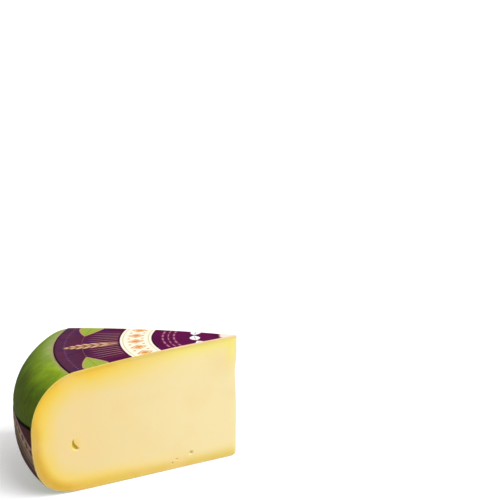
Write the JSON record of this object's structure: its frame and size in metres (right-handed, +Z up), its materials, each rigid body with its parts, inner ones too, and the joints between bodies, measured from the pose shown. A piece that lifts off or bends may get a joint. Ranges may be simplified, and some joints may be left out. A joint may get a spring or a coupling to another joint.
{
  "type": "cheese wedge",
  "caption": "Thick wedge cut from a round semi-hard cheese, with a smooth creamy cut, a rounded green coated rind and printed labels.",
  "frame": {"origin": "middle of the footprint, on the surface the wedge stands on", "axes": "+Z up along the wheel's axis; +X from the rind towards the tip; the two cuts face -Y and +Y"},
  "size_m": [0.1798, 0.1448, 0.1033],
  "materials": {
    "paste": "satin, slightly translucent cut cheese, golden near the rind",
    "coat": "satin green cheese coating, finely wrinkled",
    "print_top": "printed label under a thin clear coat",
    "print_side": "printed label under a thin clear coat"
  },
  "bodies": {
    "root": {"cheese": "paste", "label_top": "print_top", "label_side": "print_side"}
  },
  "joints": []
}
